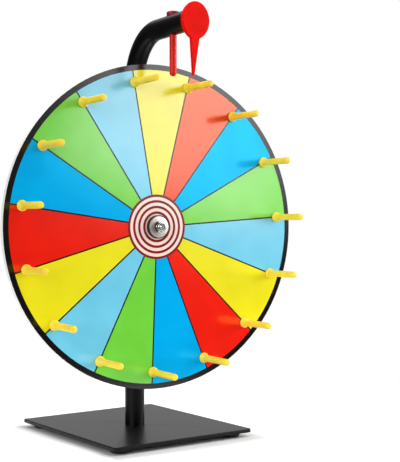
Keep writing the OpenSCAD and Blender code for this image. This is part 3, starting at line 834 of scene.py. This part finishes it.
def hexPath(low, high, bore, bevelLow, bevelHigh):
    # Half section of a hexagon with its corners bevelled at the ends that ask for it
    corner, flat = axle["flats"] / 2 / math.cos(hexTurn / 2), axle["flats"] / 2 * axle["bevelShare"]
    slope = corner - flat
    rise = slope * math.tan(math.radians(axle["bevel"]))
    steps = [i / axle["bevelSteps"] for i in range(axle["bevelSteps"] + 1)]
    lower = [(flat + slope * s, low + rise * s) for s in steps] if bevelLow else [(corner, low)]
    upper = [(corner - slope * s, high - rise * (1 - s)) for s in steps] if bevelHigh else [(corner, high)]
    return [(bore, low)] + lower + upper + [(bore, high)]


def makeAxle():
    front, back = behindFace("axle_bolt")
    radius, plain, seat = axle["width"] / 2, axle["plainWidth"] / 2, back - axle["headHigh"]
    threadFoot, top = -front - axle["threadLong"], -front - axle["endBevel"]
    count = round((top - threadFoot) / axle["pitch"] * axle["stepsPerTurn"])
    path = [(0, -seat), (plain, -seat), (plain, threadFoot - axle["runOut"])]
    path += [(radius, threadFoot + (top - threadFoot) * i / count) for i in range(count + 1)]
    path += [(axle["endWidth"] / 2, -front), (0, -front)]
    mesh = lathe(path, axle["shankSegments"], shape=threadShape)
    head = hexPath(-back, -seat, 0, True, False)
    joinMesh(mesh, lathe(head, axle["headSegments"], shape=hexShape))
    dress(toObject("axleBolt", mesh, onAxle), "dullZinc", "stand", "zinc", "axle_bolt")


def makeNut():
    front, back = behindFace("lock_nut")
    bore, collar, shoulder = axle["clearBore"] / 2, nut["collarWidth"] / 2, -back + nut["high"]
    path = hexPath(-back, shoulder, bore, True, True)[:-1] + roundedPath([
        (collar, shoulder, 0), (collar, -front, nut["collarEdge"]),
        (nut["insertBore"] / 2 + nut["insertRim"], -front, nut["insertEdge"]),
        (bore, -front - nut["insertDeep"], 0)])
    piece = toObject("lockNut", lathe(path, nut["segments"], closed=True, shape=hexShape), onAxle)
    dress(piece, "nut", "stand", "zinc", "lock_nut")


def makeWasher():
    low, high = boxMm("front_washer")
    front, back = behindFace("front_washer")
    bore, outer, edge = axle["clearBore"] / 2, (high.x - low.x) / 2, washer["edge"]
    path = roundedPath([
        (bore, -back, 0), (outer, -back, edge), (outer, -front - washer["dome"], edge),
        (washer["flat"] / 2, -front, washer["flatEdge"]), (bore, -front, 0)])
    piece = toObject("frontWasher", lathe(path, washer["segments"], closed=True), onAxle)
    dress(piece, "washer", "stand", "zinc", "front_washer")


# Bearing balls: seven in each row
bearing = {"balls": 7, "ballWidth": 3.5, "pitchRadius": 6.25, "rings": 16, "segments": 32, "seed": 1}


def makeBalls(name, node):
    front, back = behindFace(node)
    radius, count = bearing["ballWidth"] / 2, bearing["rings"]
    angles = [math.pi * i / count for i in range(count + 1)]
    path = [(radius * math.sin(a), -radius * math.cos(a)) for a in angles]
    shape = toObject("ballShape", lathe(path, bearing["segments"]))
    piece = ringOf(name, shape, "steel", bearing["balls"], bearing["pitchRadius"], 0, bearing["seed"],
                   (front + back) / 2)
    dress(piece, "steel", "wheel", "bearing_steel", node)


makeBasePlate()
makeFeet()
makeTube()
makePointer()
makeCap()
makeRod()
makeBoard()
makeHub()
makePegs()
for name, ring in screwRings.items():
    makeScrews(name, ring)
makeAxle()
makeNut()
makeWasher()
makeBalls("frontBalls", "front_balls")
makeBalls("rearBalls", "rear_balls")

# Solids whose shape is already right take their finish here
plainNodes = {
    "yellow": ["yellow_fields"], "red": ["red_fields"], "blue": ["blue_fields"], "green": ["green_fields"],
    "sky": ["sky_fields"], "black": ["face_border"], "white": ["hub_label"], "darkRed": ["hub_rings"],
    "steel": ["front_inner_ring", "rear_inner_ring", "front_outer_ring", "rear_outer_ring"],
    "cage": ["front_cage", "rear_cage"], "blackOxide": ["post_bolt", "saddle_washer"],
    "zinc": ["rear_spacer", "middle_spacer", "post_plug"], "hub": ["front_spacer"],
}
for finish, names in plainNodes.items():
    for name in names:
        paint(nodes[name], finish)
print("finishes on solids set")


# Paper sweep under the stand; its glow starts and ends this far outside the base plate
sweep = {"radius": 380, "segments": 128, "colour": "#DADADA", "roughness": 0.9, "glow": 0.5, "glowFrom": 2,
         "glowTo": 22, "glowShift": (2, -3), "glowLean": 0.7}


def makeFloor():
    mesh = bmesh.new()
    bmesh.ops.create_circle(mesh, cap_ends=True, segments=sweep["segments"], radius=sweep["radius"])
    floor = toObject("floor", mesh)
    # Matt paper with a painted glow: none next to the base plate, rising away from it, so that the floor runs
    # into the white while the shade near the plate stays
    material, tree, shader = startMaterial("paperSweep", sweep["colour"], sweep["roughness"],
                                           Specular_IOR_Level=0.0)
    shader.inputs["Emission Color"].default_value = (1, 1, 1, 1)
    coords = addNode(tree, "ShaderNodeTexCoord")
    plateX, plateY, _ = middleMm("base_plate")
    shiftX, shiftY = sweep["glowShift"]
    onPlate = addNode(tree, "ShaderNodeMapping", {
        "Vector": coords.outputs["Object"], "Rotation": (0, 0, math.radians(base["turn"])),
        "Location": ((plateX + shiftX) * mm, (plateY + shiftY) * mm, 0)}, vector_type="TEXTURE")
    corner = ((base["width"] / 2 + shiftX) * mm, (base["depth"] / 2 - shiftY) * mm, 0)
    past = addNode(tree, "ShaderNodeVectorMath", {0: onPlate.outputs["Vector"]}, operation="ABSOLUTE")
    for operation, other in (("SUBTRACT", corner), ("MAXIMUM", (0, 0, 0))):
        past = addNode(tree, "ShaderNodeVectorMath", {0: past.outputs["Vector"], 1: other},
                       operation=operation)
    away = addNode(tree, "ShaderNodeVectorMath", {0: past.outputs["Vector"]}, operation="LENGTH")
    # The glow rises faster towards the left, where the photo has next to no shadow
    side = addNode(tree, "ShaderNodeSeparateXYZ", {"Vector": onPlate.outputs["Vector"]})
    lean = addNode(tree, "ShaderNodeMath",
                   {0: side.outputs["X"], 1: -sweep["glowLean"] / corner[0], 2: 1.0},
                   operation="MULTIPLY_ADD")
    lean = addNode(tree, "ShaderNodeMath", {0: lean.outputs["Value"], 1: 1.0}, operation="MAXIMUM")
    away = addNode(tree, "ShaderNodeMath", {0: away.outputs["Value"], 1: lean.outputs["Value"]},
                   operation="MULTIPLY")
    glow = addNode(tree, "ShaderNodeMapRange", {
        "Value": away.outputs["Value"], "From Min": sweep["glowFrom"] * mm,
        "From Max": sweep["glowTo"] * mm, "To Min": 0.0, "To Max": sweep["glow"]})
    tree.links.new(glow.outputs["Result"], shader.inputs["Emission Strength"])
    floor.data.materials.append(material)


room = {"light": 0.06, "seen": 1.0}


def makeRoom():
    # The camera sees plain white, and the object is lit by a dimmer room
    world = bpy.data.worlds.new("studioRoom")
    world.use_nodes = True
    tree = world.node_tree
    tree.nodes.clear()
    path = addNode(tree, "ShaderNodeLightPath")
    lit, seen = (addNode(tree, "ShaderNodeBackground", {"Color": (1, 1, 1, 1), "Strength": room[use]})
                 for use in ("light", "seen"))
    both = addNode(tree, "ShaderNodeMixShader",
                   {0: path.outputs["Is Camera Ray"], 1: lit.outputs[0], 2: seen.outputs[0]})
    addNode(tree, "ShaderNodeOutputWorld", {"Surface": both.outputs[0]})
    scene.world = world
    scene.view_settings.view_transform = "Standard"


# Soft boxes: places are from the wheel's centre, which they all face
boxes = {
    "rightBox": {"place": (700, -1038, 328), "size": (488, 620), "roll": -21, "radiance": 3.0,
                 "middle": 1.25, "edge": 0.8},
    "leftBox": {"place": (-2500, -1100, 900), "size": (1700, 2000), "roll": 0, "radiance": 6.0},
    "topBox": {"place": (500, -700, 1300), "size": (1600, 1600), "roll": 0, "radiance": 1.9},
    "sideBox": {"place": (1150, -420, 240), "size": (700, 700), "roll": 0, "radiance": 9.5},
    "backBox": {"place": (774, 1284, 160), "size": (2400, 900), "roll": 0, "radiance": 0.77},
    "rearBox": {"place": (-300, 900, 1400), "size": (1600, 900), "roll": 0, "radiance": 3.4},
}


def makeSoftBox(name, box):
    light = bpy.data.lights.new(name, "AREA")
    light.shape = "RECTANGLE"
    light.size, light.size_y = (side * mm for side in box["size"])
    light.energy = box["radiance"] * math.pi * light.size * light.size_y
    if "edge" in box:
        # Brighter in the middle, as a lamp behind cloth is
        light.use_nodes = True
        tree = light.node_tree
        spot = addNode(tree, "ShaderNodeNewGeometry")
        half = 0.5  # of the box's own width and height, which run from 0 to 1
        across = addNode(tree, "ShaderNodeVectorMath", {0: spot.outputs["Parametric"], 1: (half, half, 0)},
                         operation="DISTANCE")
        fade = addNode(tree, "ShaderNodeMapRange", {
            "Value": across.outputs["Value"], "From Min": 0.0, "From Max": half,
            "To Min": box["middle"], "To Max": box["edge"]})
        tree.links.new(fade.outputs["Result"], tree.nodes["Emission"].inputs["Strength"])
    lamp = bpy.data.objects.new(name, light)
    lamp.location = (wheelCentre + Vector(box["place"])) * mm
    aim = (-Vector(box["place"])).to_track_quat("-Z", "Y")
    lamp.rotation_euler = (aim @ Quaternion((0, 0, 1), math.radians(box["roll"]))).to_euler()
    lamp.visible_camera = False
    scene.collection.objects.link(lamp)


# Camera at the photo's viewpoint; clip distances are in metres
photo = {"fromWheel": (-490.1, -891.7, 4.8), "azimuth": 31.08, "down": 0.49, "lens": 84.19,
         "clip": (0.05, 50)}


def makeCamera():
    lens = bpy.data.cameras.new("camera")
    lens.lens = photo["lens"]
    lens.clip_start, lens.clip_end = photo["clip"]
    camera = bpy.data.objects.new("camera", lens)
    camera.location = (wheelCentre + Vector(photo["fromWheel"])) * mm
    camera.rotation_euler = (math.radians(90 - photo["down"]), 0, math.radians(-photo["azimuth"]))
    scene.collection.objects.link(camera)
    scene.camera = camera


makeFloor()
makeRoom()
for name, box in boxes.items():
    makeSoftBox(name, box)
makeCamera()
print("studio ready")

bpy.context.view_layer.update()
